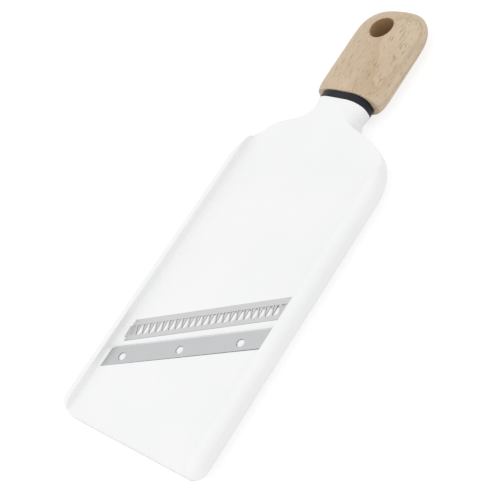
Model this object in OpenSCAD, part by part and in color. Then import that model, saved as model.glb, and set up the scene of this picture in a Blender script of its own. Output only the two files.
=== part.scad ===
// Hand-held julienne slicer: a moulded board with side rails, a louvred julienne
// strip, an oblique slicing blade, a collar and a turned-over wooden handle.
// Y runs from the tip of the board (low) to the end of the handle (high), X across,
// Z up out of the cutting face. Inside the modules y = 0 is the tip of the board and
// z = 0 is its underside; place() moves both to the middle of the whole tool's base.

/* [Board] */
// Width over the rails
board_w = 95; // [80:1:110]
// Length from the tip to the collar
board_len = 189; // [170:0.5:220]
// Plan radius of the two tip corners
tip_corner_r = 6.5; // [4:0.5:9]
// Radius that rolls the rails and the deck down at the tip
tip_roll_r = 7; // [5:0.5:8.5]
// Plan radius of the shoulders
shoulder_r = 29.9; // [26:0.1:34]
// Angle at which the shoulder curve runs out straight towards the neck
shoulder_angle = 19.2; // [14:0.2:24]
// Height of the entry deck above the underside
entry_z = 4.5; // [3.5:0.1:6]
// Step up from the entry deck to the exit deck behind the blade
exit_step = 1.2; // [0.8:0.1:2]
// Wall left above the pockets moulded into the underside
deck_wall = 2.2; // [1.5:0.1:2.6]
// Width of the rim round the underside pockets
rim_w = 5; // [4:0.5:8]
// Radius along the board's lower edge
lower_r = 1; // [0.5:0.1:1.5]

/* [Rails] */
// Width of a rail at its inner crest
rail_w = 5.5; // [4.5:0.1:8]
// Height of the rail tops above the entry deck
rail_h = 4.8; // [3.5:0.1:6]
// Outer top radius of the rails
rail_round = 4; // [3:0.1:4.4]
// Fillet between a rail and the entry deck
deck_fillet = 2.2; // [1:0.1:3]
// Fillet between a rail and the exit deck
exit_fillet = 0.6; // [0.4:0.1:1]
// Draft that leans the inner wall of a rail outwards over its height
rail_draft = 0.15; // [0.1:0.05:0.4]

/* [Neck] */
// Width of the neck at its waist
neck_w = 27.8; // [25:0.2:29]
// Fillet in plan from the shoulder into the neck
neck_fillet_r = 9; // [5:0.5:10]
// Length of the neck between its fillets and the collar
neck_len = 4.3; // [2:0.1:6]
// Length of the ramp that lifts the deck to the top of the neck
ramp_len = 25; // [20:0.5:34]
// Distance from the end of the ramp to the collar
ramp_back = 3; // [1:0.5:5]
// Height of the collar's middle above the entry deck
neck_rise = 0.1; // [-0.5:0.1:1]

/* [Collar] */
// Width of the collar and of the neck's end
collar_w = 29.6; // [27:0.2:32]
// Thickness of the collar and of the neck's end
collar_t = 16.1; // [14:0.1:18]
// Length of the collar along the tool
collar_len = 4.3; // [3:0.1:8]
// Reach across the tool of the elliptical rounding at the collar's corners
collar_rx = 9.5; // [5:0.5:10.5]
// Height of the elliptical rounding at the collar's corners
collar_rz = 6.9; // [4:0.1:7]

/* [Tang] */
// Width of the tang moulded on the neck
tang_w = 19; // [16:0.5:21]
// Thickness of the tang
tang_t = 6.5; // [5:0.1:7.5]
// Length of the tang inside the handle
tang_len = 25; // [18:0.5:28]
// Clearance round the tang, in the handle and in the collar
tang_gap = 0.1; // [0.05:0.05:0.3]

/* [Handle] */
// Length of the wooden handle
handle_len = 55.7; // [50:0.1:80]
// Greatest width of the handle
handle_w = 40; // [38:0.5:44]
// Greatest thickness of the handle
handle_t = 18.8; // [18.4:0.1:22]
// Squareness of the handle's section, 2 for an ellipse
handle_square = 2.4; // [2.2:0.1:4]
// How far the wood stands proud of the collar's sides at the joint
handle_lip_x = 3.3; // [2.4:0.1:4]
// How far the wood stands proud of the collar's top and underside at the joint
handle_lip_z = 0.8; // [0.6:0.1:1.1]
// How far the middle of the handle lies below the middle of the collar
handle_drop = 0.1; // [0:0.1:0.5]
// Length of the swell from the joint to full width and thickness
swell_len = 8.3; // [6:0.1:12]
// Length of the rounding at the far end, seen from above
end_len = 23; // [16:0.5:26]
// Squareness of the rounding at the far end, seen from above
end_square = 2.85; // [2.2:0.05:3.4]
// Length of the rounding at the far end, seen from the side
nose_len = 16; // [8:0.5:20]
// Squareness of the rounding at the far end, seen from the side
nose_square = 1.8; // [1.6:0.1:2.6]
// Diameter of the hang hole
hang_d = 12.5; // [8:0.1:14]
// Distance from the hang hole's centre to the end of the handle
hang_back = 16.5; // [14:0.1:20]

/* [Slicing blade] */
// Angle of both cutting strips from square across the board
blade_angle = 24.7; // [15:0.1:30]
// Distance from the tip to the middle of the blade, on the centre line
blade_y = 50.1; // [46:0.1:60]
// Width of the blade
blade_w = 9.8; // [8:0.1:12]
// Thickness of the blade
blade_t = 0.8; // [0.5:0.1:1]
// How far the top of the blade lies below the exit deck
blade_recess = 0.15; // [0.05:0.05:0.3]
// Length of the long bevel ground under the cutting edge
bevel_len = 2; // [1:0.1:2.5]
// Length of the short bevel ground on top of the cutting edge
edge_len = 0.7; // [0.4:0.1:1]
// Drop of the short bevel
edge_drop = 0.25; // [0.1:0.05:0.3]
// Thickness left at the cutting edge
edge_t = 0.1; // [0.05:0.05:0.15]
// Clearance between the blade's ends and the rails
blade_end_gap = 1.8; // [1:0.1:3]
// Spacing of the three stakes along the blade
stake_pitch = 32.4; // [24:0.1:34]
// Shift of the middle stake from the centre line, along the blade
stake_shift = -2.8; // [-4:0.1:4]
// Distance from the middle of the blade back to the row of stakes
stake_back = 1; // [0:0.1:1.5]
// Diameter of the holes in the blade
stake_hole_d = 4.2; // [3:0.1:5]
// How far the stakes end below the top of the blade
stake_drop = 0.2; // [0.1:0.05:0.3]
// Seat left under the blade in front of the stakes
stake_margin = 0.6; // [0.4:0.1:0.8]

/* [Throat] */
// Opening between the cutting edge and the deck in front of it
throat_gap = 0.5; // [0.4:0.1:0.8]
// Distance from the ends of the throat to the rails
throat_end_gap = 1; // [0.5:0.1:2]
// Width of the deck between the throat and the julienne strip, on the centre line
land_w = 3.4; // [2.8:0.1:5]

/* [Julienne strip] */
// Turn of the julienne strip beyond the angle of the slicing blade
strip_turn = 0.9; // [0:0.1:1]
// Width of the strip
strip_w = 10.8; // [9:0.1:12]
// Thickness of the strip
strip_t = 0.5; // [0.4:0.1:0.8]
// Clearance between the strip's ends and the rails
strip_end_gap = 3.4; // [2:0.1:5]
// Flat margin of the strip on the side of the blade
margin_front = 2.4; // [2:0.1:3.5]
// Flat margin of the strip on the side of the handle
margin_back = 3.1; // [2:0.1:3.5]
// Least length of plain strip left at either end of the row of louvres
margin_end = 0.8; // [0.5:0.1:4]
// Spacing of the louvres along the strip
louvre_pitch = 3.7; // [3:0.1:5]
// Width of the web left between two louvres
louvre_web = 0.6; // [0.5:0.05:1]
// Tilt of each louvre about its root
louvre_tilt = 20; // [10:1:30]
// Rounding of the window beside each louvre
louvre_round = 2; // [0.5:0.1:2.2]
// Slit left behind each louvre
louvre_slit = 0.35; // [0.2:0.05:0.5]

/* [Fits] */
// Clearance round each metal strip in its seat
seat_gap = 0.2; // [0.1:0.05:0.4]
// Radial clearance between a stake and its hole
stake_gap = 0.05; // [0.02:0.01:0.1]

/* [Hidden] */
$fn = 64;
// Small step past a face that two solids share, and a long one past a face to be cleared
eps = 0.01;
past = 1;

half_w = board_w / 2;
crest_x = half_w - rail_w;
rail_z = entry_z + rail_h;
exit_z = entry_z + exit_step;
neck_mid_z = entry_z + neck_rise;
neck_top_z = neck_mid_z + collar_t / 2;
neck_low_z = neck_mid_z - collar_t / 2;
tool_len = board_len + collar_len + handle_len;
handle_y = board_len + collar_len;
handle_z = neck_mid_z - handle_drop;
base_z = handle_z - handle_t / 2;

// Where the plan outline changes from one curve to the next, worked back from the collar
waist_x = neck_w / 2;
shoulder_x = half_w - shoulder_r;
run_x = shoulder_x + shoulder_r * sin(shoulder_angle);
fillet_turn = (90 - shoulder_angle) / 2;
fillet_run = neck_fillet_r * tan(fillet_turn);
fillet_y1 = board_len - neck_len;
corner_y = fillet_y1 - fillet_run;
fillet_y0 = corner_y - fillet_run * sin(shoulder_angle);
run_y = corner_y - (run_x - waist_x) * tan(shoulder_angle);
shoulder_y = run_y - shoulder_r * cos(shoulder_angle);
ramp_y1 = board_len - ramp_back;
ramp_y0 = ramp_y1 - ramp_len;

// Line short of the blade up to which the whole width lies at the exit deck's height, and
// the length over which the two parts of that deck run into each other
exit_y = blade_y - half_w * tan(blade_angle) - blade_w;
exit_lap = 0.5;

// Smooth step from 0 to 1, level at both ends
function ease(t) = let (s = min(1, max(0, t))) s * s * (3 - 2 * s);
function blend(a, b, t) = a + (b - a) * t;

// Half width of the plan outline at distance y from the tip
function outline_x(y) =
    y < tip_corner_r
        ? half_w - tip_corner_r + sqrt(max(0, pow(tip_corner_r, 2) - pow(tip_corner_r - y, 2)))
    : y < shoulder_y ? half_w
    : y < run_y ? shoulder_x + sqrt(pow(shoulder_r, 2) - pow(y - shoulder_y, 2))
    : y < fillet_y0 ? run_x - (y - run_y) / tan(shoulder_angle)
    : y < fillet_y1
        ? waist_x + neck_fillet_r - sqrt(max(0, pow(neck_fillet_r, 2) - pow(fillet_y1 - y, 2)))
    : blend(waist_x, collar_w / 2, ease((y - fillet_y1) / (board_len - fillet_y1)));

// Height of the roll that brings everything down at the tip, and no limit past it
function tip_cap(y) =
    y >= tip_roll_r ? neck_top_z
    : rail_z - tip_roll_r + sqrt(pow(tip_roll_r, 2) - pow(tip_roll_r - y, 2));

function ramp(y) = ease((y - ramp_y0) / ramp_len);
function deck_z(y) =
    min(tip_cap(y), y < exit_y ? exit_z : blend(entry_z, neck_top_z, ramp(y)));
function edge_z(y) = min(tip_cap(y), blend(rail_z, neck_top_z, ramp(y)));
function low_z(y) = blend(0, neck_low_z, ease((y - fillet_y0) / (board_len - fillet_y0)));

// Radii, across and upwards, of the lower edge and of the outer roll of the rails
function low_rx(y) = blend(lower_r, collar_rx, ease((y - fillet_y0) / (board_len - fillet_y0)));
function low_rz(y) = blend(lower_r, collar_rz, ease((y - fillet_y0) / (board_len - fillet_y0)));
function edge_rx(y) = blend(rail_round, collar_rx, ramp(y));
function edge_rz(y) =
    min(blend(rail_round, collar_rz, ramp(y)), edge_z(y) - low_z(y) - low_rz(y) - least_side);

// Angle on the outer roll at which it meets the crest line or the deck
function roll_start(y) =
    let (rx = edge_rx(y), rz = edge_rz(y), centre = outline_x(y) - rx,
         at_crest = asin(min(1, max(0, (crest_x - centre) / rx))),
         at_deck = acos(max(-1, min(1, (rz - edge_z(y) + deck_z(y)) / rz))))
    min(at_crest, at_deck, last_start);

// Least height of the flat side, and the latest angle at which the roll can start
least_side = 0.3;
last_start = 85;
roll_steps = 9;
// Greatest share of a rail's height that the fillet at its foot takes up
fillet_share = 0.8;
fillet_angles = [0, 25, 45, 65, 90];
lower_angles = [0, 22.5, 45, 67.5, 90];

// Right half of a cross-section: deck, fillet, rail, outer roll and lower edge
function half_section(y) =
    let (rx = edge_rx(y), rz = edge_rz(y), centre = outline_x(y) - rx, start = roll_start(y),
         top = edge_z(y), deck = deck_z(y), low = low_z(y), low_x = low_rx(y), low_h = low_rz(y),
         flat_top = centre - crest_x > least_side,
         wall_x = min(crest_x, centre + rx * sin(start)),
         crest_z = top - rz + rz * cos(start),
         fillet = min(y < exit_y ? exit_fillet : deck_fillet, (wall_x - rail_draft) / 2),
         rise = min(fillet, (crest_z - deck) * fillet_share))
    concat(
        [[(wall_x - rail_draft - fillet) / 2, deck]],
        [for (a = fillet_angles)
            [wall_x - rail_draft - fillet * (1 - sin(a)), deck + rise * (1 - cos(a))]],
        [[wall_x, crest_z]],
        [for (i = [flat_top ? 0 : 1 : flat_top ? roll_steps - 1 : roll_steps])
            let (a = blend(start, 90, i / (flat_top ? roll_steps - 1 : roll_steps)))
            [centre + rx * sin(a), top - rz + rz * cos(a)]],
        [for (a = lower_angles)
            [outline_x(y) - low_x * (1 - cos(a)), low + low_h * (1 - sin(a))]]
    );

function reverse(list) = [for (i = [len(list) - 1 : -1 : 0]) list[i]];

// Whole cross-section as a closed ring of [x, z] points
function section(y) =
    let (half = half_section(y))
    concat([[0, deck_z(y)]], half, [[0, low_z(y)]],
           [for (p = reverse(half)) [-p[0], p[1]]]);

// Closed surface through rings of points that all have the same number of points; each
// end is a fan of triangles about the point halfway round its ring
module skin(rings) {
    n = len(rings[0]);
    hub = n / 2;
    last = (len(rings) - 1) * n;
    fan = [for (j = [0 : n - 1]) if (j != hub && j + 1 != hub) [j, (j + 1) % n]];
    polyhedron(
        points = [for (ring = rings) for (p = ring) p],
        faces = concat(
            [for (e = fan) [hub, e[0], e[1]]],
            [for (i = [0 : n : last - n]) for (j = [0 : n - 1])
                [i + j, i + n + j, i + n + (j + 1) % n, i + (j + 1) % n]],
            [for (e = fan) [last + hub, last + e[1], last + e[0]]]
        )
    );
}

// Distances from the tip at which the board's surface is laid out
tip_stations = [0, 0.06, 0.16, 0.3, 0.5, 0.74, 1];
shoulder_stations = 12;
run_stations = 3;
fillet_stations = 5;
neck_stations = 3;
stations = concat(
    [for (s = tip_stations) s * max(tip_roll_r, tip_corner_r)],
    [exit_y - exit_lap, exit_y],
    [for (i = [0 : shoulder_stations - 1])
        shoulder_y + shoulder_r * sin(blend(0, 90 - shoulder_angle, i / shoulder_stations))],
    [for (i = [0 : run_stations - 1]) blend(run_y, fillet_y0, i / run_stations)],
    [for (i = [0 : fillet_stations - 1])
        fillet_y1 - neck_fillet_r * sin(blend(90 - shoulder_angle, 0, i / fillet_stations))],
    [for (i = [0 : neck_stations]) blend(fillet_y1, board_len, i / neck_stations)]
);

module place() {
    translate([0, -tool_len / 2, -base_z]) children();
}

// Frame of a cutting strip: x along the strip, y across it towards the handle
module oblique(angle) {
    translate([0, blade_y, 0]) rotate([0, 0, angle]) children();
}

// Position along a strip at which the line across it at v meets the plane x
function along(x, v, angle) = (x + v * sin(angle)) / cos(angle);

// Plan of a band between two lines along a strip, cut square to the board at -x and x
module band(x, v0, v1, angle) {
    polygon([[along(-x, v0, angle), v0], [along(x, v0, angle), v0],
             [along(x, v1, angle), v1], [along(-x, v1, angle), v1]]);
}

strip_angle = blade_angle + strip_turn;
blade_front = blade_w / 2;
blade_x = crest_x - blade_end_gap;
blade_z = exit_z - blade_recess - blade_t;
seat_front = stake_hole_d / 2 - stake_back + stake_margin;
throat_front = blade_front + throat_gap;
throat_mid = (seat_front + throat_front) / 2;
throat_x = crest_x - throat_end_gap;
strip_front = throat_front + land_w;
strip_back = strip_front + strip_w;
strip_x = crest_x - strip_end_gap;
strip_z = entry_z - strip_t;

// The row of louvres: as many as fit between the slanting ends of the strip
louvre_front = strip_front + margin_front;
louvre_back = strip_back - margin_back;
louvre_l = louvre_back - louvre_front;
louvre_d = louvre_pitch - louvre_web;
row_start = along(-strip_x, louvre_back, strip_angle) + margin_end;
row_end = along(strip_x, louvre_front, strip_angle) - margin_end;
louvre_count = floor((row_end - row_start - louvre_d) / louvre_pitch) + 1;
row_length = (louvre_count - 1) * louvre_pitch + louvre_d;

module board_skin() {
    skin([for (y = stations) [for (p = section(y)) [p[0], y, p[1]]]]);
}

// The slanting part of the exit deck, from where it spans the board up to the throat
module exit_deck() {
    side_x = crest_x + past;
    front_y = blade_y + throat_mid / cos(blade_angle);
    translate([0, 0, entry_z - past]) linear_extrude(exit_step + past) polygon([
        [-side_x, exit_y - exit_lap], [side_x, exit_y - exit_lap],
        [side_x, front_y + side_x * tan(blade_angle)],
        [-side_x, front_y - side_x * tan(blade_angle)]
    ]);
}

// Pockets under the decks, open downwards, that keep the moulding to one wall
module underside_pockets() {
    inner_x = half_w - rim_w;
    blade_rise = inner_x * tan(blade_angle);
    strip_rise = inner_x * tan(strip_angle);
    behind_y = blade_y - blade_w;
    ahead_y = blade_y + (strip_back + rim_w) / cos(strip_angle);
    translate([0, 0, -past]) linear_extrude(exit_z - deck_wall + past) polygon([
        [-inner_x, rim_w], [inner_x, rim_w],
        [inner_x, behind_y + blade_rise], [-inner_x, behind_y - blade_rise]
    ]);
    translate([0, 0, -past]) linear_extrude(entry_z - deck_wall + past) polygon([
        [-inner_x, ahead_y - strip_rise], [inner_x, ahead_y + strip_rise],
        [inner_x, shoulder_y], [shoulder_x, shoulder_y + rim_w],
        [-shoulder_x, shoulder_y + rim_w], [-inner_x, shoulder_y]
    ]);
}

module stake_row() {
    for (i = [-1 : 1]) translate([i * stake_pitch + stake_shift, -stake_back, 0]) children();
}

module board() {
    color("white") place() {
        difference() {
            union() {
                board_skin();
                exit_deck();
            }
            underside_pockets();
            oblique(blade_angle) {
                // Throat
                translate([0, 0, -past]) linear_extrude(rail_z + past)
                    band(throat_x, seat_front, throat_front, blade_angle);
                // Seat of the slicing blade
                translate([0, 0, blade_z]) linear_extrude(rail_z)
                    band(blade_x + seat_gap, -blade_front - seat_gap, throat_mid, blade_angle);
            }
            oblique(strip_angle) {
                // Seat of the julienne strip
                translate([0, 0, strip_z]) linear_extrude(rail_z)
                    band(strip_x + seat_gap, strip_front - seat_gap, strip_back + seat_gap,
                         strip_angle);
                // Slot under the louvres
                translate([0, 0, -past]) linear_extrude(rail_z)
                    band(strip_x - rim_w / 2, louvre_front, louvre_back, strip_angle);
            }
        }
        // Stakes that hold the blade
        oblique(blade_angle) translate([0, 0, blade_z - eps]) stake_row()
            cylinder(d = stake_hole_d - 2 * stake_gap, h = blade_t - stake_drop);
        // Tang
        translate([-tang_w / 2, board_len - past, neck_mid_z - tang_t / 2])
            cube([tang_w, past + collar_len + tang_len, tang_t]);
    }
}

// Section of the blade: a long bevel under the cutting edge and a short one on top
module blade_section() {
    polygon([[-blade_front, 0], [blade_front - bevel_len, 0],
             [blade_front, blade_t - edge_drop - edge_t], [blade_front, blade_t - edge_drop],
             [blade_front - edge_len, blade_t], [-blade_front, blade_t]]);
}

module slicing_blade() {
    color("silver") place() oblique(blade_angle) translate([0, 0, blade_z]) difference() {
        intersection() {
            linear_extrude(blade_t) band(blade_x, -blade_front, blade_front, blade_angle);
            translate([-board_w, 0, 0]) rotate([90, 0, 90]) linear_extrude(2 * board_w)
                blade_section();
        }
        translate([0, 0, -past]) stake_row() cylinder(d = stake_hole_d, h = blade_t + 2 * past);
    }
}

module louvre_row() {
    first = (row_start + row_end - row_length) / 2;
    for (i = [0 : louvre_count - 1])
        translate([first + i * louvre_pitch, louvre_front, 0]) children();
}

// Window beside a louvre, its corner on the side of the blade rounded off
module louvre_window() {
    r = louvre_round;
    polygon(concat([[0, 0]],
        [for (a = [0 : 15 : 90]) [louvre_d - r + r * sin(a), r - r * cos(a)]],
        [[louvre_d, louvre_l], [0, louvre_l]]));
}

// One louvre: a tab hinged at its web and lifted along an edge that runs with the board
module louvre_lip() {
    tip_w = louvre_web / 2;
    back = louvre_l - louvre_slit;
    edge_x = min(louvre_d, tip_w + back * tan(strip_angle));
    rotate([0, -louvre_tilt, 0]) linear_extrude(strip_t)
        polygon([[-louvre_web / 2, 0], [tip_w, 0], [edge_x, back], [-louvre_web / 2, back]]);
}

module julienne_strip() {
    color("silver") place() oblique(strip_angle) translate([0, 0, strip_z]) {
        difference() {
            linear_extrude(strip_t) band(strip_x, strip_front, strip_back, strip_angle);
            translate([0, 0, -past]) linear_extrude(strip_t + 2 * past)
                louvre_row() louvre_window();
        }
        louvre_row() louvre_lip();
    }
}

// Section of the collar and of the neck's end: a rectangle with elliptical corners
collar_turns = [0 : 7.5 : 90];
module collar_section() {
    corner = [for (a = collar_turns)
        [collar_w / 2 - collar_rx * (1 - cos(a)), collar_t / 2 - collar_rz * (1 - sin(a))]];
    back = reverse(corner);
    polygon(concat(corner, [for (p = back) [-p[0], p[1]]],
                   [for (p = corner) [-p[0], -p[1]]], [for (p = back) [p[0], -p[1]]]));
}

module collar() {
    color("dimgray") place()
        translate([0, handle_y, neck_mid_z]) rotate([90, 0, 0]) linear_extrude(collar_len)
            difference() {
                collar_section();
                square([tang_w + 2 * tang_gap, tang_t + 2 * tang_gap], center = true);
            }
}

// Half width and half thickness of the handle at distance y from the joint
function swell(y, full, joint) =
    y >= swell_len ? full : joint + (full - joint) * sqrt(1 - pow(1 - y / swell_len, 2));
function nose(y, run, square) =
    y <= handle_len - run ? 1
    : max(least_nose, pow(max(0, 1 - pow((y - handle_len + run) / run, square)), 1 / square));
function handle_x(y) =
    swell(y, handle_w / 2, collar_w / 2 + handle_lip_x) * nose(y, end_len, end_square);
function handle_h(y) =
    swell(y, handle_t / 2, collar_t / 2 + handle_lip_z) * nose(y, nose_len, nose_square);

// Share of the full width and thickness at which the rounding ends in a flat tip
least_nose = 0.04;
handle_sides = 48;
handle_stations = concat(
    [for (s = [0, 0.02, 0.08, 0.2, 0.4, 0.65, 1]) s * swell_len],
    [handle_len - end_len],
    [for (s = [0.15, 0.3, 0.45, 0.6, 0.72, 0.82, 0.9, 0.95, 0.98, 0.995, 1])
        handle_len - end_len * (1 - s)]
);

function superpoint(a, power) = sign(a) * pow(abs(a), 2 / power);

module handle_blank() {
    skin([for (y = handle_stations)
        [for (i = [0 : handle_sides - 1])
            let (a = -360 * i / handle_sides)
            [handle_x(y) * superpoint(cos(a), handle_square), y,
             handle_h(y) * superpoint(sin(a), handle_square)]]]);
}

module handle() {
    color("burlywood") place() translate([0, handle_y, handle_z]) difference() {
        handle_blank();
        // Hang hole
        translate([0, handle_len - hang_back, -handle_t]) cylinder(d = hang_d, h = 2 * handle_t);
        // Socket for the tang
        translate([-tang_w / 2 - tang_gap, -past, neck_mid_z - handle_z - tang_t / 2 - tang_gap])
            cube([tang_w + 2 * tang_gap, past + tang_len + tang_gap, tang_t + 2 * tang_gap]);
    }
}

board();
slicing_blade();
julienne_strip();
collar();
handle();
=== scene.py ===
"""A hand-held julienne slicer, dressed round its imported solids.

Lengths are written in millimetres and become metres when a mesh is made. The frame is the
part's own: y runs from the tip of the board to the end of the handle, x across, z up out of
the cutting face. Shapes are worked out from the tip (y = 0) and the underside of the board
(z = 0), and place() moves them into the frame.
"""
import math
import bpy
import numpy as np
from mathutils import Matrix, Vector


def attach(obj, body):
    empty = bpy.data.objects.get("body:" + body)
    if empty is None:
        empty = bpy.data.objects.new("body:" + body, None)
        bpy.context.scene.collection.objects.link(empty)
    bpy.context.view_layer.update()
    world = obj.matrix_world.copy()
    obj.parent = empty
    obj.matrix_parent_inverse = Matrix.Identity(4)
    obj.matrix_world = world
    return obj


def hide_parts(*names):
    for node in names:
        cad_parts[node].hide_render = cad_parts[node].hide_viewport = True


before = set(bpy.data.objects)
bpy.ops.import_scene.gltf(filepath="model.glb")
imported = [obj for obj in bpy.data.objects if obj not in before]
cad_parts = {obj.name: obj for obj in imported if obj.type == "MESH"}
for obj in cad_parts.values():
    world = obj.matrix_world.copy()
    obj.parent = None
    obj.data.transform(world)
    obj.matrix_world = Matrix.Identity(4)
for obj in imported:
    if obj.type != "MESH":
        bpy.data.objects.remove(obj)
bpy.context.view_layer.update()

MM = 0.001
BODY = "root"

# ------------------------------------------------------------------ sizes, in millimetres
BOARD_W = 95.0
BOARD_LEN = 189.0
TIP_CORNER_R = 6.5
TIP_ROLL_R = 7.0
SHOULDER_R = 29.9
SHOULDER_ANGLE = math.radians(19.2)
ENTRY_Z = 4.5
EXIT_Z = 5.7
DECK_WALL = 2.2
RIM_W = 5.0
LOWER_R = 1.0
RAIL_W = 5.5
RAIL_H = 4.8
RAIL_ROUND = 4.0
RAIL_DRAFT = 0.15
DECK_FILLET = 2.2
EXIT_FILLET = 0.6
NECK_W = 27.8
NECK_FILLET_R = 9.0
NECK_LEN = 4.3
RAMP_LEN = 25.0
RAMP_BACK = 3.0
COLLAR_W, COLLAR_T, COLLAR_LEN = 29.6, 16.1, 4.3
COLLAR_RX, COLLAR_RZ = 9.5, 6.9
TANG_W, TANG_T, TANG_LEN = 19.0, 6.5, 25.0
HANDLE_LEN, HANDLE_W, HANDLE_T = 55.7, 40.0, 18.8
HANDLE_SQUARE = 2.4
HANDLE_LIP_X, HANDLE_LIP_Z = 3.3, 0.8
SWELL_LEN = 8.3
END_LEN, END_SQUARE = 23.0, 2.85
NOSE_LEN, NOSE_SQUARE = 16.0, 1.8
HANG_D, HANG_BACK = 12.5, 16.5
BLADE_ANGLE = math.radians(24.7)
STRIP_ANGLE = math.radians(25.6)
BLADE_Y = 50.1
BLADE_W, BLADE_T, BLADE_END_GAP = 9.8, 0.8, 1.8
BLADE_RECESS = 0.15
STAKE_PITCH, STAKE_SHIFT, STAKE_BACK, STAKE_D = 32.4, -2.8, 1.0, 4.1
THROAT_GAP, THROAT_END_GAP = 0.5, 1.0
LAND_W = 3.4
STRIP_W, STRIP_T, STRIP_END_GAP = 10.8, 0.5, 3.4
MARGIN_FRONT, MARGIN_BACK = 2.4, 3.1
LOUVRE_PITCH, LOUVRE_WEB, LOUVRE_ROUND, LOUVRE_SLIT = 3.7, 0.6, 2.0, 0.35
LOUVRE_COUNT, LOUVRE_FIRST, LOUVRE_LIFT = 21, -31.6, 0.38
TAB_LEN, END_LEAN = 0.75, 0.9
SEAT_FRONT = 1.7
BROW_R = 0.22
GROOVE_DEPTH, GROOVE_WIDTH, GROOVE_BACK = 0.16, 0.22, 1.0
SHEAR_Y = (8, 36, 76, 110)
THROAT_ROUND, BLADE_SEAT_ROUND, STRIP_SEAT_ROUND = 0.25, 0.2, 0.12
SEAT_CLEAR, BLADE_SEAT_CLEAR, STRIP_SEAT_CLEAR = 0.08, 0.06, 0.12
BLADE_SEAT_LIP, TAB_CLEAR = 0.5, 0.3
SLOT_END, SLOT_BACK_LEFT, SLOT_BACK_RIGHT, SLOT_LOW_Z = 3.9, 3.6, 1.6, -0.4
STAKE_SINK, STAKE_ROOT, STAKE_EDGE = 0.45, 0.2, 0.2
COLLAR_EDGE, COLLAR_INNER = 0.4, 3.0
BORE_FLARE, BORE_PAST = 0.7, 1.5
BEVEL_HIGHLIGHT_W = 0.7
TIP_SHADE_H, TIP_SHADE_FADE = 1.1, 0.3

HALF_W = BOARD_W / 2
CREST_X = HALF_W - RAIL_W
RAIL_Z = ENTRY_Z + RAIL_H
NECK_MID_Z = ENTRY_Z + 0.1
NECK_TOP_Z = NECK_MID_Z + COLLAR_T / 2
NECK_LOW_Z = NECK_MID_Z - COLLAR_T / 2
HANDLE_Y = BOARD_LEN + COLLAR_LEN
HANDLE_Z = NECK_MID_Z - 0.1
TOOL_LEN = HANDLE_Y + HANDLE_LEN
BASE_Z = HANDLE_Z - HANDLE_T / 2
WAIST_X = NECK_W / 2
SHOULDER_X = HALF_W - SHOULDER_R
RUN_X = SHOULDER_X + SHOULDER_R * math.sin(SHOULDER_ANGLE)
FILLET_RUN = NECK_FILLET_R * math.tan((math.pi / 2 - SHOULDER_ANGLE) / 2)
FILLET_Y1 = BOARD_LEN - NECK_LEN
CORNER_Y = FILLET_Y1 - FILLET_RUN
FILLET_Y0 = CORNER_Y - FILLET_RUN * math.sin(SHOULDER_ANGLE)
RUN_Y = CORNER_Y - (RUN_X - WAIST_X) * math.tan(SHOULDER_ANGLE)
SHOULDER_Y = RUN_Y - SHOULDER_R * math.cos(SHOULDER_ANGLE)
RAMP_Y0 = BOARD_LEN - RAMP_BACK - RAMP_LEN
BLADE_FRONT = BLADE_W / 2
BLADE_X = CREST_X - BLADE_END_GAP
BLADE_Z = EXIT_Z - BLADE_RECESS - BLADE_T
THROAT_FRONT = BLADE_FRONT + THROAT_GAP
THROAT_MID = (SEAT_FRONT + THROAT_FRONT) / 2
THROAT_X = CREST_X - THROAT_END_GAP
THROAT_S = BLADE_Y + THROAT_MID / math.cos(BLADE_ANGLE)
STRIP_FRONT = THROAT_FRONT + LAND_W
STRIP_BACK = STRIP_FRONT + STRIP_W
STRIP_X = CREST_X - STRIP_END_GAP
LOUVRE_FRONT = STRIP_FRONT + MARGIN_FRONT
LOUVRE_BACK = STRIP_BACK - MARGIN_BACK


def place(points):
    """Millimetres from the tip and the underside, moved into the frame and made metres."""
    return (np.asarray(points, float) - (0.0, TOOL_LEN / 2, BASE_Z)) * MM


def ease(t):
    """Smooth step from 0 to 1: s squared times (3 - 2 s), level at both ends."""
    s = np.clip(t, 0.0, 1.0)
    return s * s * (3 - 2 * s)


def blend(a, b, t):
    """The value at share t of the way from a to b."""
    return a + (b - a) * t


# ------------------------------------------------------------------ meshes
def smooth_by_angle(piece, degrees):
    """Shades the piece smooth, but keeps edges over the angle sharp."""
    mesh = piece.data
    mesh.polygons.foreach_set("use_smooth", np.ones(len(mesh.polygons), bool))
    mesh.set_sharp_from_angle(angle=math.radians(degrees))


def make_piece(name, verts, faces, material):
    """A mesh piece from points already in metres, smooth but for edges over 35 degrees."""
    mesh = bpy.data.meshes.new(name)
    mesh.from_pydata(np.asarray(verts).tolist(), [], [tuple(map(int, f)) for f in faces])
    mesh.validate()
    mesh.materials.append(material)
    piece = bpy.data.objects.new(name, mesh)
    smooth_by_angle(piece, 35)
    bpy.context.scene.collection.objects.link(piece)
    return piece


def ring_faces(rings, n):
    """Quads between successive closed rings of n points, and one cap at each end."""
    i, j = np.meshgrid(np.arange(rings - 1), np.arange(n), indexing="ij")
    k = (j + 1) % n
    quads = np.stack([i * n + j, (i + 1) * n + j, (i + 1) * n + k, i * n + k], -1)
    first = list(range(n))
    last = [(rings - 1) * n + q for q in range(n)][::-1]
    return quads.reshape(-1, 4).tolist() + [first, last]


def cut(piece, cutter):
    """Subtracts a closed cutter from the piece and removes the cutter."""
    modifier = piece.modifiers.new("cut", "BOOLEAN")
    modifier.operation = "DIFFERENCE"
    modifier.solver = "EXACT"
    modifier.object = cutter
    bpy.context.view_layer.objects.active = piece
    with bpy.context.temp_override(object=piece, active_object=piece):
        bpy.ops.object.modifier_apply(modifier=modifier.name)
    bpy.data.objects.remove(cutter)


def join_meshes(piece, others):
    """Adds the meshes of the others to the piece's own mesh, as separate closed shells."""
    with bpy.context.temp_override(object=piece, active_object=piece,
                                   selected_objects=[piece] + others,
                                   selected_editable_objects=[piece] + others):
        bpy.ops.object.join()


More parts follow.
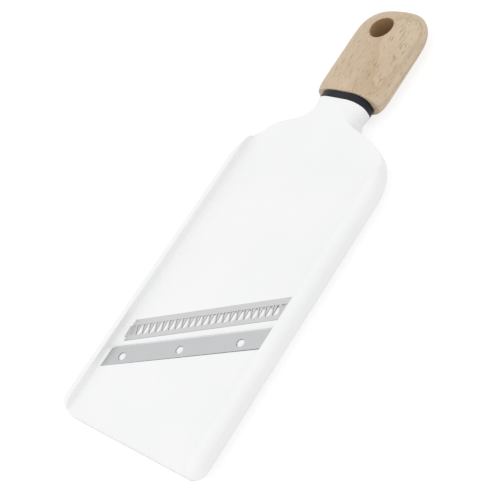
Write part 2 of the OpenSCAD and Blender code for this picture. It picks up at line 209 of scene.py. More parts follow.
# ------------------------------------------------------------------ the board's surface
def outline_x(y):
    """Half width in plan: a corner arc, a straight side, the shoulder's arc, a straight run
    into the neck's fillet, and an eased widening to the collar."""
    corner = HALF_W - TIP_CORNER_R + np.sqrt(
        np.maximum(0, TIP_CORNER_R ** 2 - (TIP_CORNER_R - y) ** 2))
    shoulder = SHOULDER_X + np.sqrt(np.maximum(0, SHOULDER_R ** 2 - (y - SHOULDER_Y) ** 2))
    run = RUN_X - (y - RUN_Y) / math.tan(SHOULDER_ANGLE)
    fillet = WAIST_X + NECK_FILLET_R - np.sqrt(
        np.maximum(0, NECK_FILLET_R ** 2 - (FILLET_Y1 - y) ** 2))
    neck = blend(WAIST_X, COLLAR_W / 2, ease((y - FILLET_Y1) / (BOARD_LEN - FILLET_Y1)))
    return np.select([y < TIP_CORNER_R, y < SHOULDER_Y, y < RUN_Y, y < FILLET_Y0, y < FILLET_Y1],
                     [corner, HALF_W + 0 * y, shoulder, run, fillet], neck)


def board_rings(s):
    """Rings of (x, y, z) for stations s.

    Each ring is the section's right half (deck, fillet, inner wall with a small rounded brow,
    crest, outer roll, side, lower edge) and its mirror image. `cap` is the height that the roll
    at the tip allows, a quarter circle along y. A fine groove, a bell curve along y, runs round
    the neck's end and leaves a bead against the collar. Between the tip and the shoulders, where
    the section doesn't change, stations are sheared to lie along the blade:
    y = s + x tan(angle) w(s).
    """
    s = np.asarray(s, float)
    cap = np.where(s >= TIP_ROLL_R, NECK_TOP_Z, RAIL_Z - TIP_ROLL_R + np.sqrt(
        np.maximum(0, TIP_ROLL_R ** 2 - (TIP_ROLL_R - s) ** 2)))
    ramp = ease((s - RAMP_Y0) / RAMP_LEN)
    flare = ease((s - FILLET_Y0) / (BOARD_LEN - FILLET_Y0))
    deck = np.minimum(cap, np.where(s < THROAT_S, EXIT_Z, blend(ENTRY_Z, NECK_TOP_Z, ramp)))
    top = np.minimum(cap, blend(RAIL_Z, NECK_TOP_Z, ramp))
    low = blend(0, NECK_LOW_Z, flare)
    low_rx, low_rz = blend(LOWER_R, COLLAR_RX, flare), blend(LOWER_R, COLLAR_RZ, flare)
    out = outline_x(s)
    rx = blend(RAIL_ROUND, COLLAR_RX, ramp)
    rz = np.minimum(blend(RAIL_ROUND, COLLAR_RZ, ramp), top - low - low_rz - 0.3)
    centre = out - rx
    at_crest = np.arcsin(np.clip((CREST_X - centre) / rx, 0, 1))
    at_deck = np.arccos(np.clip((rz - top + deck) / rz, -1, 1))
    start = np.minimum(np.minimum(at_crest, at_deck), math.radians(85))
    wall = np.minimum(CREST_X, centre + rx * np.sin(start))
    crest = top - rz + rz * np.cos(start)
    fillet = np.minimum(np.where(s < THROAT_S, EXIT_FILLET, DECK_FILLET), (wall - RAIL_DRAFT) / 2)
    rise = np.minimum(fillet, (crest - deck) * 0.8)

    a = np.linspace(0, math.pi / 2, 9)[:, None]
    t = np.linspace(0, 1, 8)[:-1, None]
    inner = wall - RAIL_DRAFT - fillet
    parts = [(inner * t, deck + 0 * t)]
    parts.append((inner + fillet * np.sin(a), deck + rise * (1 - np.cos(a))))
    brow = BROW_R * np.clip((crest - deck) / 1.5, 0, 1)
    b = np.linspace(0, math.pi / 2, 5)[:, None]
    flat_top = np.maximum(centre - CREST_X, 0)
    parts.append((wall + brow * (1 - np.cos(b)) * (0.4 + 0.6 * (flat_top > 0.5)),
                  crest - brow * (1 - np.sin(b))))
    k = np.linspace(0, 1, 16)[1:, None]
    arc = blend(start, math.pi / 2, k)
    head = np.where((centre - CREST_X) > 0.3, 1.0, 0.0)
    arc = np.where(head > 0, blend(0.0, math.pi / 2, (k - k[0]) / (1 - k[0])), arc)
    parts.append((centre + rx * np.sin(arc), top - rz + rz * np.cos(arc)))
    c = np.linspace(0, math.pi / 2, 9)[:, None]
    parts.append((out - low_rx * (1 - np.cos(c)), low + low_rz * (1 - np.sin(c))))
    u = np.linspace(1, 0, 6)[1:, None]
    parts.append(((out - low_rx) * u, low + 0 * u))
    hx = np.concatenate([np.broadcast_to(p[0], (len(p[1]), len(s))) for p in parts]).T
    hz = np.concatenate([np.broadcast_to(p[1], (len(p[1]), len(s))) for p in parts]).T
    x = np.concatenate([hx, -hx[:, -2:0:-1]], 1)
    z = np.concatenate([hz, hz[:, -2:0:-1]], 1)
    groove = -GROOVE_DEPTH * np.exp(-((s - BOARD_LEN + GROOVE_BACK) / GROOVE_WIDTH) ** 2)[:, None]
    x = x * (1 + groove / (COLLAR_W / 2))
    z = z + (z - NECK_MID_Z) * groove / (COLLAR_T / 2)
    weight = np.interp(s, SHEAR_Y, [0, 1, 1, 0])[:, None]
    y = s[:, None] + x * math.tan(BLADE_ANGLE) * weight
    return np.stack([x, y, z], -1)


def board_stations():
    """Distances from the tip for the rings: close together at the tip's roll, on both sides of
    the step at the throat, round the shoulders and at the neck's groove."""
    sheared, full, ending, straight = SHEAR_Y
    return np.concatenate([
        TIP_ROLL_R * (1 - np.cos(np.linspace(0, math.pi / 2, 22))),
        np.linspace(sheared, full, 8),
        [42, 48, THROAT_S - 0.02, THROAT_S + 0.02, 60, 66, 72, ending],
        np.linspace(84, straight, 4), np.linspace(114, SHOULDER_Y, 8),
        np.linspace(SHOULDER_Y, RUN_Y, 44)[1:], np.linspace(RUN_Y, FILLET_Y0, 8)[1:],
        np.linspace(FILLET_Y0, FILLET_Y1, 16)[1:], np.linspace(FILLET_Y1, BOARD_LEN - 1.7, 9)[1:],
        np.linspace(BOARD_LEN - 1.6, BOARD_LEN, 17)])


def edge_levels(floor, top, r):
    """Pairs of height and outward growth for a cutter whose upper edge rounds off what it
    cuts: straight up from the floor, then a quarter circle of radius r that ends at the top."""
    b = np.linspace(0, math.pi / 2, 5)
    arc = [(top - r + r * math.sin(t), r - r * math.cos(t)) for t in b]
    return [(floor, 0.0)] + arc + [(top + 1.0, r)]


def oblique_prism(name, angle, levels):
    """A closed prism across the board at the given angle. Each level is a height and four
    corners (x, v): x across the board, v the distance from the blade's middle across the strip."""
    rings = [(x, BLADE_Y + v / math.cos(angle) + x * math.tan(angle), z)
             for z, corners in levels for x, v in corners]
    return make_piece(name, place(rings), ring_faces(len(levels), 4), white_plastic)


def box_corners(x, v0, v1):
    """The four corners of a level that reaches x to both sides, from v0 to v1."""
    return ((-x, v0), (-x, v1), (x, v1), (x, v0))


def flat_prism(name, outline, z0, z1):
    """A closed upright prism on a plan outline."""
    rings = [(x, y, z) for z in (z0, z1) for x, y in outline[::-1]]
    return make_piece(name, place(rings), ring_faces(2, len(outline)), white_plastic)


def turned(name, x, y, profile, n, material):
    """A closed round shape about an upright axis: n points round for each (radius, height)."""
    a = np.linspace(0, 2 * math.pi, n, endpoint=False)
    rings = [np.stack([x + q * np.cos(-a), y + q * np.sin(-a), 0 * a + z], -1) for q, z in profile]
    return make_piece(name, place(np.concatenate(rings)), ring_faces(len(profile), n), material)


def stake(name, x, y, z0, z1, r, edge):
    """A round post with a rounded rim and a small flat top."""
    b = np.linspace(0, math.pi / 2, 5)
    profile = [(r, z0)] + [(r - edge * (1 - math.cos(t)), z1 - edge * (1 - math.sin(t))) for t in b]
    return turned(name, x, y, profile + [(r * 0.5, z1)], 48, white_plastic)


def cut_seats(board):
    """Cuts the throat under the blade's edge, the seats of the blade, the strip and its tab,
    and the slot under the louvres, which widens downwards."""
    cut(board, oblique_prism("throat", BLADE_ANGLE, [
        (z, ((-BLADE_X, SEAT_FRONT), (-BLADE_X, THROAT_FRONT + g), (THROAT_X, THROAT_FRONT + g),
             (THROAT_X, SEAT_FRONT)))
        for z, g in edge_levels(-1, ENTRY_Z, THROAT_ROUND) + [(RAIL_Z, THROAT_ROUND)]]))
    x, back = BLADE_X + BLADE_SEAT_CLEAR, -BLADE_FRONT
    cut(board, oblique_prism("blade_seat", BLADE_ANGLE, [
        (z, ((-x, back - SEAT_CLEAR - g), (-x, THROAT_MID), (x + g, THROAT_MID),
             (x + g, back - BLADE_SEAT_LIP - g)))
        for z, g in edge_levels(BLADE_Z, EXIT_Z, BLADE_SEAT_ROUND)]))
    x, floor = STRIP_X + STRIP_SEAT_CLEAR, ENTRY_Z - STRIP_T
    cut(board, oblique_prism("strip_seat", STRIP_ANGLE, [
        (z, ((-x - g + END_LEAN, STRIP_FRONT - SEAT_CLEAR - g),
             (-x - g, STRIP_BACK + SEAT_CLEAR + g), (x + g, STRIP_BACK + SEAT_CLEAR + g),
             (x + g, STRIP_FRONT - SEAT_CLEAR - g)))
        for z, g in edge_levels(floor, ENTRY_Z, STRIP_SEAT_ROUND)]))
    cut(board, oblique_prism("tab_seat", STRIP_ANGLE, [
        (z, ((-x - TAB_LEN + 0.6 * END_LEAN, LOUVRE_FRONT - TAB_CLEAR),
             (-x - TAB_LEN, LOUVRE_BACK + SEAT_CLEAR),
             (0, LOUVRE_BACK + SEAT_CLEAR), (0, LOUVRE_FRONT - TAB_CLEAR)))
        for z in (floor, RAIL_Z)]))
    x = STRIP_X - RIM_W / 2
    cut(board, oblique_prism("louvre_slot", STRIP_ANGLE, [
        (SLOT_LOW_Z, ((-x - SLOT_END, LOUVRE_FRONT), (-x - SLOT_END, LOUVRE_BACK + SLOT_BACK_LEFT),
                      (x, LOUVRE_BACK + SLOT_BACK_RIGHT), (x, LOUVRE_FRONT))),
        (floor, box_corners(x, LOUVRE_FRONT, LOUVRE_BACK)),
        (RAIL_Z, box_corners(x, LOUVRE_FRONT, LOUVRE_BACK))]))


def cut_pockets(board):
    """Hollows the underside ahead of the blade and behind the strip, inside an even rim."""
    inner, behind = HALF_W - RIM_W, BLADE_Y - BLADE_W
    blade_rise, strip_rise = inner * math.tan(BLADE_ANGLE), inner * math.tan(STRIP_ANGLE)
    ahead = BLADE_Y + (STRIP_BACK + RIM_W) / math.cos(STRIP_ANGLE)
    cut(board, flat_prism("exit_pocket", [
        (-inner, RIM_W), (inner, RIM_W), (inner, behind + blade_rise),
        (-inner, behind - blade_rise)], -1, EXIT_Z - DECK_WALL))
    cut(board, flat_prism("entry_pocket", [
        (-inner, ahead - strip_rise), (inner, ahead + strip_rise),
        (inner, SHOULDER_Y), (SHOULDER_X, SHOULDER_Y + RIM_W),
        (-SHOULDER_X, SHOULDER_Y + RIM_W), (-inner, SHOULDER_Y)], -1, ENTRY_Z - DECK_WALL))


def build_board():
    """The moulding: its skin, its seats and pockets, the blade's three stakes and the tang."""
    rings = board_rings(board_stations())
    board = make_piece("board_moulding", place(rings.reshape(-1, 3)),
                       ring_faces(len(rings), rings.shape[1]), white_plastic)
    cut_seats(board)
    cut_pockets(board)
    extras = []
    for i in (-1, 0, 1):
        u, v = i * STAKE_PITCH + STAKE_SHIFT, -STAKE_BACK
        x = u * math.cos(BLADE_ANGLE) - v * math.sin(BLADE_ANGLE)
        y = BLADE_Y + u * math.sin(BLADE_ANGLE) + v * math.cos(BLADE_ANGLE)
        extras.append(stake(f"stake{i + 2}", x, y, BLADE_Z - STAKE_ROOT,
                            BLADE_Z + BLADE_T - STAKE_SINK, STAKE_D / 2, STAKE_EDGE))
    t, start, end = TANG_W / 2, BOARD_LEN - 1, HANDLE_Y + TANG_LEN
    extras.append(flat_prism("tang", [(-t, start), (t, start), (t, end), (-t, end)],
                             NECK_MID_Z - TANG_T / 2, NECK_MID_Z + TANG_T / 2))
    join_meshes(board, extras)
    smooth_by_angle(board, 32)
    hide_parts("board")
    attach(board, BODY)


# ------------------------------------------------------------------ the louvred strip
def strip_frame(points):
    """(u along the strip, v across it, z) turned into x, y, z from the tip."""
    p = np.asarray(points, float)
    c, s = math.cos(STRIP_ANGLE), math.sin(STRIP_ANGLE)
    return np.stack([p[:, 0] * c - p[:, 1] * s, BLADE_Y + p[:, 0] * s + p[:, 1] * c, p[:, 2]], -1)


def closed_shell(name, rings, material):
    """A closed skin through equal rings of (u, v, z), its faces turned outwards."""
    n = len(rings[0])
    verts = strip_frame(np.concatenate(rings))
    faces = ring_faces(len(rings), n)
    middle = verts.mean(0)
    volume = sum(np.dot(verts[f[0]] - middle, np.cross(verts[a] - middle, verts[b] - middle))
                 for f in faces for a, b in zip(f[1:-1], f[2:]))
    if volume < 0:
        faces = [f[::-1] for f in faces]
    return make_piece(name, place(verts), faces, material)


def louvre_window():
    """A window's outline in the louvre's own (a, b): square at the back, and rounded at the
    front corner away from the lip."""
    d, length, r = LOUVRE_PITCH - LOUVRE_WEB, LOUVRE_BACK - LOUVRE_FRONT, LOUVRE_ROUND
    t = np.linspace(0, math.pi / 2, 9)
    return [(0.0, 0.0)] + [(d - r + r * math.sin(q), r - r * math.cos(q)) for q in t] + \
        [(d, length), (0.0, length)]


def louvre_lip(u0):
    """One lip: hinged on the web along the front of the window, free of it behind a slit, and
    curled up as the square of the distance from the hinge to an edge that runs with y. A
    crease, a bell curve across the lip, marks the hinge."""
    length = LOUVRE_BACK - LOUVRE_FRONT - LOUVRE_SLIT
    reach = length * math.tan(STRIP_ANGLE)
    rings = []
    for b in np.linspace(-0.05, length, 17):
        left = -0.05 + 0.33 * float(ease((b - 2.9) / 0.5))
        right = 0.12 + (reach - 0.30) * max(b, 0) / length
        a = blend(left, max(right, left + 0.1), np.linspace(0, 1, 15) ** 1.6)
        # The crease sinks below the strip steel's painted shade line, so the hinge is painted dark.
        crease = 0.15 * np.exp(-((a - 0.16) / 0.16) ** 2) * float(ease(b / 0.8))
        top = ENTRY_Z - 0.01 + LOUVRE_LIFT * np.maximum(a, 0) ** 2 / reach ** 2 - crease
        low = np.minimum(top, ENTRY_Z) - 0.40
        rings.append(np.stack([u0 + np.concatenate([a, a[::-1]]),
                               np.full(30, LOUVRE_FRONT + b),
                               np.concatenate([top, low[::-1]])], -1))
    return closed_shell("lip", rings, strip_steel)


def build_strip():
    """The pressed strip: a flat sheet with a row of windows, a lip curled up beside each, a
    half-pressed louvre at either end of the row and a short tab at the left end."""
    low, c, s = ENTRY_Z - STRIP_T, math.cos(STRIP_ANGLE), math.sin(STRIP_ANGLE)

    def along(x, v):
        """The u of the point that lies x to the right of the middle, at v."""
        return (x + v * s) / c

    def prism(name, outline, z0, z1):
        """A closed upright prism on an outline of (u, v)."""
        return closed_shell(name, [[(u, v, z) for u, v in outline] for z in (z0, z1)],
                            strip_steel)

    tab = STRIP_X + TAB_LEN
    v0, v1, v2, v3 = STRIP_FRONT, LOUVRE_FRONT - 0.2, LOUVRE_BACK, STRIP_BACK
    sheet = prism("julienne_sheet", [
        (along(-STRIP_X + END_LEAN, v0), v0), (along(STRIP_X, v0), v0),
        (along(STRIP_X, v3), v3), (along(-STRIP_X, v3), v3),
        (along(-STRIP_X, v2 + 0.15), v2 + 0.15), (along(-tab, v2), v2),
        (along(-tab + 0.6 * END_LEAN, v1 + 0.15), v1 + 0.15),
        (along(-STRIP_X + 0.8 * END_LEAN, v1), v1)], low, ENTRY_Z)
    starts = [LOUVRE_FIRST + i * LOUVRE_PITCH for i in range(LOUVRE_COUNT)]
    cutters = [prism(f"window{i}", [(u + a, LOUVRE_FRONT + b) for a, b in louvre_window()],
                     low - 1, ENTRY_Z + 1) for i, u in enumerate(starts)]
    first, last = LOUVRE_FIRST - LOUVRE_PITCH, starts[-1] + LOUVRE_PITCH
    cutters.append(prism("half_first", [
        (first + 0.55, v1 + 0.4), (first + 2.9, v1 + 0.4), (first + 2.9, v2 - 0.1),
        (first + 0.55, v2 - 0.1)], ENTRY_Z - 0.06, ENTRY_Z + 1))
    cutters.append(prism("half_last", [
        (last, v1 + 0.2), (last + 0.9, v1 + 0.6), (last + 2.3, v2 - 1.3), (last + 2.3, v2),
        (last, v2)], ENTRY_Z - 0.05, ENTRY_Z + 1))
    cutters.append(prism("end_slit", [
        (last + 0.5, v2 - 0.25), (last + 1.1, v2 - 1.1), (last + 3.0, v2 - 0.25),
        (last + 3.0, v2 - 0.02), (last + 0.5, v2 - 0.02)], low - 1, ENTRY_Z + 1.5))
    for cutter in cutters:
        cut(sheet, cutter)
    join_meshes(sheet, [louvre_lip(u) for u in starts])
    smooth_by_angle(sheet, 35)
    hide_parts("julienne_strip")
    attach(sheet, BODY)


# ------------------------------------------------------------------ collar and handle
def collar_section(inset, n=12):
    """Closed outline in x and z of a rectangle with elliptical corners, n + 1 points a corner,
    drawn in all round by the inset."""
    a = np.linspace(0, math.pi / 2, n + 1)
    rx, rz = COLLAR_RX - inset, COLLAR_RZ - inset
    x = COLLAR_W / 2 - COLLAR_RX + rx * np.cos(a)
    z = COLLAR_T / 2 - COLLAR_RZ + rz * np.sin(a)
    quarter = np.stack([x, z], -1)
    return np.concatenate([quarter, (quarter * (-1, 1))[::-1], -quarter,
                           (quarter * (1, -1))[::-1]])


def build_collar():
    """The collar's section carried along y, its two outer edges rolled over a small radius."""
    b = np.linspace(0, math.pi / 2, 6)
    profile = [(0.0, COLLAR_INNER)]
    profile += [(COLLAR_EDGE * (1 - math.cos(t)), COLLAR_EDGE * (1 - math.sin(t))) for t in b]
    profile += [(COLLAR_LEN - y, d) for y, d in profile[::-1]]
    rings = []
    for y, d in profile:
        section = collar_section(d)
        rings.append(np.stack([section[:, 0], 0 * section[:, 0] + BOARD_LEN + y,
                               NECK_MID_Z + section[:, 1]], -1))
    n = len(rings[0])
    collar = make_piece("collar_ring", place(np.concatenate(rings)), ring_faces(len(rings), n),
                        black_plastic)
    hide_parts("collar")
    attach(collar, BODY)


def handle_rings():
    """Superellipse sections carried along the handle: |x/a|^p + |z/b|^p = 1, with a and b
    swelling as a quarter ellipse from the joint and closing as superellipses at the end."""
    near = SWELL_LEN * (1 - np.cos(np.linspace(0, math.pi / 2, 26)))
    far = HANDLE_LEN - END_LEN * (1 - np.sin(np.linspace(0, math.pi / 2, 70)))
    y = np.concatenate([near, np.linspace(SWELL_LEN, HANDLE_LEN - END_LEN, 8)[1:-1], far])
    a = np.linspace(0, 2 * math.pi, 192, endpoint=False)

    def swell(full, joint):
        """Half a size that grows from the joint to its full value as a quarter ellipse."""
        s = np.clip(y / SWELL_LEN, 0, 1)
        return joint + (full - joint) * np.sqrt(1 - (1 - s) ** 2)

    def nose(run, square):
        """The share that is left of a half size over the last `run` of the handle."""
        s = np.clip((y - HANDLE_LEN + run) / run, 0, 1)
        return np.maximum(0.02, (1 - s ** square) ** (1 / square))

    half_w = swell(HANDLE_W / 2, COLLAR_W / 2 + HANDLE_LIP_X) * nose(END_LEN, END_SQUARE)
    half_t = swell(HANDLE_T / 2, COLLAR_T / 2 + HANDLE_LIP_Z) * nose(NOSE_LEN, NOSE_SQUARE)
    power = 2 / HANDLE_SQUARE
    x = np.sign(np.cos(a)) * np.abs(np.cos(a)) ** power
    z = np.sign(np.sin(a)) * np.abs(np.sin(a)) ** power
    return np.stack([half_w[:, None] * x, HANDLE_Y + y[:, None] + 0 * x,
                     HANDLE_Z + half_t[:, None] * z], -1)


def build_handle():
    """The wooden block, with a hang hole whose rims are rounded over a quarter circle."""
    rings = handle_rings()
    handle = make_piece("wood_handle", place(rings.reshape(-1, 3)),
                        ring_faces(len(rings), rings.shape[1]), beech)
    r, flare, top = HANG_D / 2, BORE_FLARE, HANDLE_T / 2
    b = np.linspace(0, math.pi / 2, 7)
    profile = [(r + flare + BORE_PAST, -top - BORE_PAST), (r + flare, -top)]
    profile += [(r + flare * (1 - math.sin(t)), -top + flare * (1 - math.cos(t))) for t in b[1:]]
    profile += [(q, -z) for q, z in profile[::-1]]
    cut(handle, turned("bore", 0, TOOL_LEN - HANG_BACK, [(q, HANDLE_Z + z) for q, z in profile],
                       96, beech))
    smooth_by_angle(handle, 40)
    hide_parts("handle")
    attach(handle, BODY)


# ------------------------------------------------------------------ materials
class Finish:
    """A small helper that lays out one material's nodes."""

    def __init__(self, name, color, rough):
        """A new material with one plain shader, read in Object coordinates."""
        self.material = bpy.data.materials.new(name)
        self.material.use_nodes = True
        self.tree = self.material.node_tree
        self.shader = self.tree.nodes["Principled BSDF"]
        self.shader.inputs["Base Color"].default_value = (*color, 1)
        self.shader.inputs["Roughness"].default_value = rough
        self.coords = self.tree.nodes.new("ShaderNodeTexCoord").outputs["Object"]

    def node(self, kind, **values):
        """Adds a node; each value sets or feeds the input of that name, or sets a property."""
        n = self.tree.nodes.new(kind)
        for key, value in values.items():
            if key in n.inputs:
                if isinstance(value, bpy.types.NodeSocket):
                    self.tree.links.new(value, n.inputs[key])
                else:
                    n.inputs[key].default_value = value
            else:
                setattr(n, key, value)
        return n

    def link(self, out, socket):
        """Feeds an output into a socket."""
        self.tree.links.new(out, socket)

    def mapped(self, scale=(1, 1, 1), turn=(0, 0, 0), at=(0, 0, 0)):
        """The coordinates, scaled, turned and moved."""
        m = self.tree.nodes.new("ShaderNodeMapping")
        m.inputs["Scale"].default_value = scale
        m.inputs["Rotation"].default_value = turn
        m.inputs["Location"].default_value = at
        self.link(self.coords, m.inputs["Vector"])
        return m.outputs["Vector"]

    def noise(self, vector, scale=1.0, detail=3.0, rough=0.55, distortion=0.0):
        """Soft noise between 0 and 1."""
        n = self.node("ShaderNodeTexNoise", Vector=vector, Scale=scale, Detail=detail,
                      Roughness=rough, Distortion=distortion)
        return n.outputs["Fac"]

    def remap(self, value, lo, hi, to_lo=0.0, to_hi=1.0):
        """The value's range lo to hi turned into to_lo to to_hi, and held at both ends."""
        n = self.tree.nodes.new("ShaderNodeMapRange")
        n.clamp = True
        self.link(value, n.inputs["Value"])
        for key, v in (("From Min", lo), ("From Max", hi), ("To Min", to_lo), ("To Max", to_hi)):
            n.inputs[key].default_value = v
        return n.outputs["Result"]

    def math(self, operation, a, b=0.0):
        """One sum on two outputs or numbers."""
        n = self.tree.nodes.new("ShaderNodeMath")
        n.operation = operation
        for socket, v in zip(n.inputs, (a, b)):
            if isinstance(v, bpy.types.NodeSocket):
                self.link(v, socket)
            else:
                socket.default_value = v
        return n.outputs[0]

    def mix(self, factor, a, b):
        """Colour a, giving way to colour b as the factor goes from 0 to 1."""
        n = self.tree.nodes.new("ShaderNodeMix")
        n.data_type = "RGBA"
        for socket, v in ((n.inputs[0], factor), (n.inputs[6], a), (n.inputs[7], b)):
            if isinstance(v, bpy.types.NodeSocket):
                self.link(v, socket)
            else:
                socket.default_value = v if not isinstance(v, tuple) else (*v, 1)
        return n.outputs[2]

    def bump(self, height, strength, distance):
        """Fine relief on the shader's normal, `distance` metres deep."""
        n = self.node("ShaderNodeBump", Strength=strength, Distance=distance, Height=height)
        self.link(n.outputs["Normal"], self.shader.inputs["Normal"])


def make_white_plastic():
    """Satin moulded white plastic: faint mottling, fine pebbled skin, slight gloss changes, and
    a thin olive-grey band of painted shade along the foot of the tip."""
    f = Finish("white_abs", (0.88, 0.88, 0.875), 0.38)
    broad = f.noise(f.mapped(), scale=28, detail=2)
    color = f.mix(f.remap(broad, 0.35, 0.65), (0.885, 0.886, 0.888), (0.868, 0.871, 0.874))
    parts = f.node("ShaderNodeSeparateXYZ", Vector=f.coords)
    # Painted shade: a thin olive-grey band on the tip's end face, from the foot up about a
    # millimetre, standing in for the shade under the tip's lower rounding.
    tip, foot = -TOOL_LEN / 2 * MM, -BASE_Z * MM
    tip_shade_top = foot + TIP_SHADE_H * MM
    at_tip = f.remap(parts.outputs["Y"], tip + 0.1 * MM, tip + 0.6 * MM, 1, 0)
    low = f.math("MULTIPLY",
                 f.remap(parts.outputs["Z"], foot + 0.01 * MM, foot + 0.03 * MM),
                 f.remap(parts.outputs["Z"], tip_shade_top, tip_shade_top + TIP_SHADE_FADE * MM, 1, 0))
    f.link(f.mix(f.math("MULTIPLY", at_tip, low), color, (0.42, 0.43, 0.34)),
           f.shader.inputs["Base Color"])
    f.link(f.remap(f.noise(f.mapped(), scale=90, detail=4), 0.3, 0.7, 0.34, 0.46),
           f.shader.inputs["Roughness"])
    f.bump(f.noise(f.mapped(), scale=2600, detail=2), 0.12, 0.00006)
    f.shader.inputs["Specular IOR Level"].default_value = 0.4
    return f.material


def make_black_plastic():
    """Satin black plastic with a slightly blue cast and a fine spark-eroded skin."""
    f = Finish("black_ring", (0.014, 0.015, 0.019), 0.42)
    tone = f.noise(f.mapped(), scale=160, detail=3)
    f.link(f.mix(f.remap(tone, 0.3, 0.7), (0.012, 0.013, 0.017), (0.017, 0.018, 0.023)),
           f.shader.inputs["Base Color"])
    f.link(f.remap(f.noise(f.mapped(), scale=400, detail=2), 0.3, 0.7, 0.34, 0.46),
           f.shader.inputs["Roughness"])
    f.bump(f.noise(f.mapped(), scale=3200, detail=2), 0.2, 0.00005)
    f.shader.inputs["Specular IOR Level"].default_value = 0.2
    return f.material


def make_steel(name, color, rough, lines, edge=None, edge_shade_top=None):
    """Ground steel: fine scratches that run along the strip, and faint cloudy marks. Past the
    line `edge` across the strip, on the ground bevel, a painted highlight fades from left to
    right. Below the height given last, the sheet's punched edges are painted dark as painted shade."""
    f = Finish(name, color, rough)
    f.shader.inputs["Metallic"].default_value = 1.0
    along = f.mapped(scale=(60, lines, 400), turn=(0, 0, -BLADE_ANGLE))
    scratches = f.noise(along, scale=1.0, detail=5, rough=0.7)
    cloud = f.noise(f.mapped(), scale=70, detail=3)
    low = tuple(c * 0.965 for c in color)
    high = tuple(min(1, c * 1.03) for c in color)
    base = f.mix(f.remap(scratches, 0.3, 0.7), low, high)
    base = f.mix(f.remap(cloud, 0.4, 0.75, 0, 0.3), base, tuple(c * 0.93 for c in color))
    if edge_shade_top is not None:
        # Painted shade: the narrow punched faces, from just under the top face down to near the
        # bottom face, are painted dark.
        z = f.node("ShaderNodeSeparateXYZ", Vector=f.coords).outputs["Z"]
        side = f.math("MULTIPLY", f.remap(z, edge_shade_top - 0.12 * MM, edge_shade_top - 0.03 * MM, 1, 0),
                      f.remap(z, edge_shade_top - 0.47 * MM, edge_shade_top - 0.43 * MM))
        base = f.mix(f.math("MULTIPLY", side, 0.6), base, (0.22, 0.22, 0.225))
    if edge is not None:
        # Painted highlight: a bright band along the blade's ground bevel, strongest at the left end
        # and fading to the right.
        parts = f.node("ShaderNodeSeparateXYZ", Vector=f.mapped(turn=(0, 0, -BLADE_ANGLE)))
        bevel_highlight = f.remap(parts.outputs["Y"], edge - 0.05 * MM, edge + 0.05 * MM)
        highlight_fade = f.remap(parts.outputs["X"], -0.06, 0.02, 0.8, 0.25)
        base = f.mix(f.math("MULTIPLY", bevel_highlight, highlight_fade), base, (0.80, 0.80, 0.80))
    f.link(base, f.shader.inputs["Base Color"])
    f.link(f.remap(scratches, 0.25, 0.75, rough - 0.05, rough + 0.06), f.shader.inputs["Roughness"])
    f.bump(scratches, 0.12, 0.00003)
    return f.material


def bore_mask(f):
    """1 inside the hang hole's wall and 0 a little outside it, from the distance to its axis."""
    hole_y = (TOOL_LEN / 2 - HANG_BACK) * MM
    parts = f.tree.nodes.new("ShaderNodeSeparateXYZ")
    f.link(f.coords, parts.inputs["Vector"])
    x, y = parts.outputs["X"], f.math("SUBTRACT", parts.outputs["Y"], hole_y)
    far = f.math("SQRT", f.math("ADD", f.math("MULTIPLY", x, x), f.math("MULTIPLY", y, y)))
    r = HANG_D / 2 * MM
    return f.remap(far, r + 0.1 * MM, r + 0.5 * MM, 1.0, 0.0)


def make_beech():
    """Oiled beech: growth rings about an axis tilted a little from y, fine fibres, short dark
    ray flecks along y, and a darker, warmer tone where the hang hole cuts through the grain."""
    f = Finish("beech", (0.57, 0.44, 0.30), 0.5)
    figure = f.noise(f.mapped(scale=(70, 16, 90)), scale=1.0, detail=2, distortion=0.5)
    base = f.mix(f.remap(figure, 0.32, 0.68), (0.65, 0.53, 0.39), (0.59, 0.465, 0.325))
    rings = f.node("ShaderNodeTexWave", wave_type="RINGS", rings_direction="Y",
                   wave_profile="SAW", Scale=1.0, Distortion=1.6, Detail=2.0,
                   Vector=f.mapped(scale=(82, 24, 82), turn=(0.16, 0, 0.05), at=(0.35, 0, 1.5)))
    base = f.mix(f.remap(rings.outputs["Fac"], 0.55, 1.0, 0.0, 0.45), base, (0.47, 0.335, 0.205))
    fibre = f.noise(f.mapped(scale=(2100, 110, 2100)), scale=1.0, detail=3, rough=0.6)
    base = f.mix(f.remap(fibre, 0.35, 0.75, 0.0, 0.30), base, (0.42, 0.30, 0.18))
    long_ray = f.noise(f.mapped(scale=(1800, 230, 1800), at=(7, 3, 1)), scale=1.0, detail=0)
    short_ray = f.noise(f.mapped(scale=(2300, 420, 2300), at=(2, 9, 5)), scale=1.0, detail=0)
    fleck = f.math("MAXIMUM", f.remap(long_ray, 0.66, 0.75), f.remap(short_ray, 0.70, 0.78, 0, 0.7))
    base = f.mix(f.math("MULTIPLY", fleck, 0.55), base, (0.24, 0.15, 0.075))
    f.link(f.mix(f.math("MULTIPLY", bore_mask(f), 0.8), base, (0.33, 0.19, 0.085)),
           f.shader.inputs["Base Color"])
    f.link(f.remap(fibre, 0.3, 0.7, 0.42, 0.6), f.shader.inputs["Roughness"])
    f.bump(f.math("SUBTRACT", fibre, f.math("MULTIPLY", fleck, 0.6)), 0.25, 0.00012)
    f.shader.inputs["Specular IOR Level"].default_value = 0.3
    return f.material


white_plastic = make_white_plastic()
black_plastic = make_black_plastic()
beech = make_beech()
# The line across the blade where its painted bevel highlight begins.
bevel_highlight_line = ((BLADE_Y - TOOL_LEN / 2) * math.cos(BLADE_ANGLE) + BLADE_FRONT - BEVEL_HIGHLIGHT_W) * MM
blade_steel = make_steel("blade_steel", (0.585, 0.59, 0.60), 0.30, 5200, edge=bevel_highlight_line)
# The strip's punched edges below its top face get painted shade.
strip_steel = make_steel("strip_steel", (0.655, 0.655, 0.655), 0.33, 3800,
                         edge_shade_top=(ENTRY_Z - BASE_Z) * MM)

build_board()
build_collar()
build_handle()
build_strip()
blade_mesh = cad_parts["slicing_blade"].data
blade_mesh.materials.clear()
blade_mesh.materials.append(blade_steel)


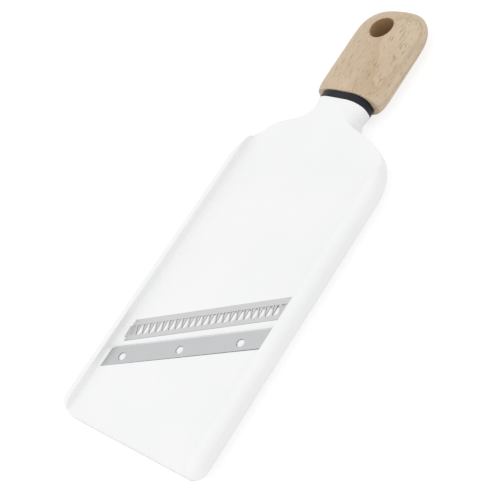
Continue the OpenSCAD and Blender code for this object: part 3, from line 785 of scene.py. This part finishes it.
# ------------------------------------------------------------------ stage, light and camera
def make_floor():
    """A pale floor that stays white where it is lit and keeps the object's soft shadow."""
    mesh = bpy.data.meshes.new("floor")
    size = 6.0
    mesh.from_pydata([(-size, -size, 0), (size, -size, 0), (size, size, 0), (-size, size, 0)],
                     [], [(0, 1, 2, 3)])
    f = Finish("floor_white", (0.80, 0.80, 0.80), 0.9)
    path = f.tree.nodes.new("ShaderNodeLightPath")
    seen = f.math("MAXIMUM", path.outputs["Is Camera Ray"], path.outputs["Is Glossy Ray"])
    f.link(f.mix(seen, (0.80, 0.80, 0.80), (0.26, 0.26, 0.26)), f.shader.inputs["Base Color"])
    f.shader.inputs["Emission Color"].default_value = (1, 1, 1, 1)
    f.link(f.remap(seen, 0.0, 1.0, 0.12, 0.80), f.shader.inputs["Emission Strength"])
    f.shader.inputs["Specular IOR Level"].default_value = 0.0
    mesh.materials.append(f.material)
    floor = bpy.data.objects.new("floor", mesh)
    bpy.context.scene.collection.objects.link(floor)


def make_world(light):
    """An even white sky that lights the object at `light` and looks white to the camera and in
    reflections."""
    world = bpy.data.worlds.new("studio")
    bpy.context.scene.world = world
    world.use_nodes = True
    tree = world.node_tree
    tree.nodes.clear()
    output = tree.nodes.new("ShaderNodeOutputWorld")
    mix = tree.nodes.new("ShaderNodeMixShader")
    path = tree.nodes.new("ShaderNodeLightPath")
    lit, seen = (tree.nodes.new("ShaderNodeBackground") for _ in range(2))
    lit.inputs["Color"].default_value = (1, 1, 1, 1)
    lit.inputs["Strength"].default_value = light
    seen.inputs["Color"].default_value = (1, 1, 1, 1)
    seen.inputs["Strength"].default_value = 1.0
    either = path.outputs["Is Camera Ray"]
    for ray in ("Is Glossy Ray", "Is Transmission Ray"):
        top = tree.nodes.new("ShaderNodeMath")
        top.operation = "MAXIMUM"
        tree.links.new(either, top.inputs[0])
        tree.links.new(path.outputs[ray], top.inputs[1])
        either = top.outputs[0]
    tree.links.new(either, mix.inputs["Fac"])
    tree.links.new(lit.outputs[0], mix.inputs[1])
    tree.links.new(seen.outputs[0], mix.inputs[2])
    tree.links.new(mix.outputs[0], output.inputs["Surface"])


def make_lamp(name, at, aim, size, watts):
    """A white square lamp that points from `at` to `aim` and doesn't show in reflections."""
    lamp = bpy.data.lights.new(name, "AREA")
    lamp.shape = "SQUARE"
    lamp.size = size
    lamp.energy = watts
    obj = bpy.data.objects.new(name, lamp)
    obj.location = at
    obj.rotation_euler = (Vector(aim) - Vector(at)).to_track_quat("-Z", "Y").to_euler()
    obj.visible_glossy = False
    bpy.context.scene.collection.objects.link(obj)


def make_camera():
    """A long lens over the front right of the tip; the axes are the view's right, up and back."""
    sensor, focal_px, frame_px = 36.0, 1222.83, 492
    data = bpy.data.cameras.new("camera")
    data.sensor_width = sensor
    data.lens = focal_px / frame_px * sensor
    data.clip_start, data.clip_end = 0.01, 50.0
    right = Vector((0.68632623, 0.53062945, -0.49738183))
    up = Vector((-0.21970377, 0.80319564, 0.55372107))
    back = Vector((0.69331563, -0.27075663, 0.66783553))
    camera = bpy.data.objects.new("camera", data)
    turn = Matrix((right, up, back)).transposed().to_4x4()
    camera.matrix_world = Matrix.Translation((0.38777, -0.17158, 0.38700)) @ turn
    bpy.context.scene.collection.objects.link(camera)
    bpy.context.scene.camera = camera


make_floor()
make_world(0.95)
make_lamp("top_softbox", (0.05, -0.50, 1.0), (0, 0, 0), 1.2, 1.8)
make_camera()
bpy.context.scene.view_settings.view_transform = "Standard"
